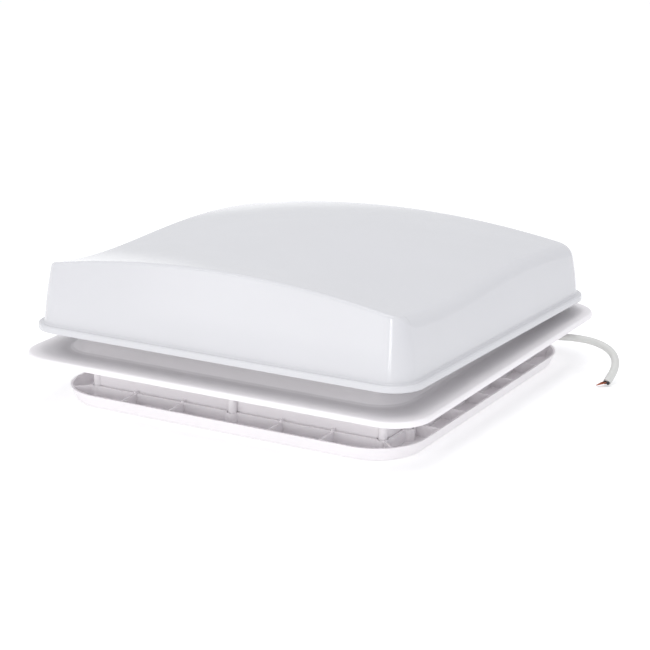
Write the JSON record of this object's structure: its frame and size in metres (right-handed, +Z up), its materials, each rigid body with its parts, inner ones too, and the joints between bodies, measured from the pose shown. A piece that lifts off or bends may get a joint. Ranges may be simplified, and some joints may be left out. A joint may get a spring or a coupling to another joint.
{
  "type": "roof vent",
  "caption": "Square vehicle roof vent: crowned hinged lid standing ajar, broad roof flange and neck, inner trim ring, hand crank lift, fan, insect screen and a bare-ended supply cable.",
  "frame": {"origin": "middle of the trim ring's underside, in the plane the object stands on", "axes": "+Z up, +Y towards the lid's hinge side, +X towards the side where the supply cable leaves"},
  "size_m": [0.5106, 0.457, 0.1637],
  "materials": {
    "lid_plastic": "semi-gloss moulded white polypropylene",
    "frame_plastic": "fine satin moulded white ABS",
    "fastener_steel": "zinc-plated steel screws and rivets",
    "zinc_steel": "zinc-plated steel sheet and rod",
    "motor_steel": "dull grey painted steel can",
    "nylon": "natural nylon",
    "black_plastic": "black satin switch plastic",
    "fitting_plastic": "white satin moulded plastic",
    "mesh_fibre": "grey coated glass-fibre insect mesh",
    "seal_foam": "dark closed-cell sponge rubber",
    "cable_sheath": "warm light-grey PVC sheath",
    "copper": "dull bare copper strands"
  },
  "bodies": {
    "frame": {"trim_ring": "frame_plastic", "trim_screws": "fastener_steel", "roof_flange": "frame_plastic", "neck_sleeve": "frame_plastic", "hinge_brackets": "zinc_steel", "hinge_bracket_screws": "fastener_steel", "hinge_pins": "zinc_steel", "crossbar": "zinc_steel", "crossbar_screws": "fastener_steel", "operator_housing": "nylon", "operator_cover": "nylon", "housing_screws": "fastener_steel", "foot_screws": "fastener_steel", "arm_pivot_pin": "zinc_steel", "motor_bracket": "zinc_steel", "motor_bracket_screws": "fastener_steel", "fan_motor": "motor_steel", "motor_screws": "fastener_steel", "control_panel": "frame_plastic", "panel_screws": "fastener_steel", "switch_body": "black_plastic", "screen_frame": "frame_plastic", "insect_mesh": "mesh_fibre", "screen_screws": "fastener_steel", "cable_gland": "fitting_plastic", "gland_nut": "fitting_plastic", "fan_lead": "cable_sheath", "lead_clips": "nylon", "power_cable": "cable_sheath", "copper_strands": "copper"},
    "lid": {"lid_shell": "lid_plastic", "lid_spacers": "frame_plastic", "lid_ring": "frame_plastic", "lid_screws": "fastener_steel", "lid_seal": "seal_foam", "lid_beams": "zinc_steel", "beam_screws": "fastener_steel", "slide_channel": "zinc_steel", "channel_rivets": "fastener_steel", "hinge_leaves": "zinc_steel", "leaf_rivets": "fastener_steel"},
    "arm": {"lift_arm": "zinc_steel", "shoe_pin": "zinc_steel"},
    "slider": {"slider_shoe": "nylon"},
    "crank": {"worm_shaft": "zinc_steel", "crank_knob": "fitting_plastic", "knob_screw": "fastener_steel"},
    "fan": {"fan_blade": "fitting_plastic", "motor_shaft": "zinc_steel"},
    "switch": {"rocker": "black_plastic"}
  },
  "joints": [
    {"name": "lid_hinge", "type": "hinge", "parent": "frame", "child": "lid", "pos_m": [0, 0.2, 0.089], "axis": [-1, 0, 0], "range_deg": [-1.5, 48.5]},
    {"name": "arm_pivot", "type": "hinge", "parent": "frame", "child": "arm", "pos_m": [0, 0.1, 0.089], "axis": [-1, 0, 0], "range_deg": [-3, 97]},
    {"name": "slider_pivot", "type": "hinge", "parent": "arm", "child": "slider", "pos_m": [0, 0.00014, 0.09423], "axis": [-1, 0, 0], "range_deg": [-48.5, 1.5]},
    {"name": "crank_turn", "type": "hinge", "parent": "frame", "child": "crank", "pos_m": [0, 0.12, 0.01], "axis": [0, 0, 1], "range_deg": [-60, 1940]},
    {"name": "fan_spin", "type": "hinge", "parent": "frame", "child": "fan", "pos_m": [0, 0, 0.03], "axis": [0, 0, 1], "continuous": true},
    {"name": "rocker_press", "type": "hinge", "parent": "frame", "child": "switch", "pos_m": [0.062, 0.138, 0.0195], "axis": [0, -1, 0], "range_deg": [0, 18]}
  ],
  "couplings": [
    {"joint": "arm_pivot", "follows": "lid_hinge", "ratio": 2},
    {"joint": "slider_pivot", "follows": "lid_hinge", "ratio": -1},
    {"joint": "crank_turn", "follows": "lid_hinge", "ratio": 40}
  ]
}
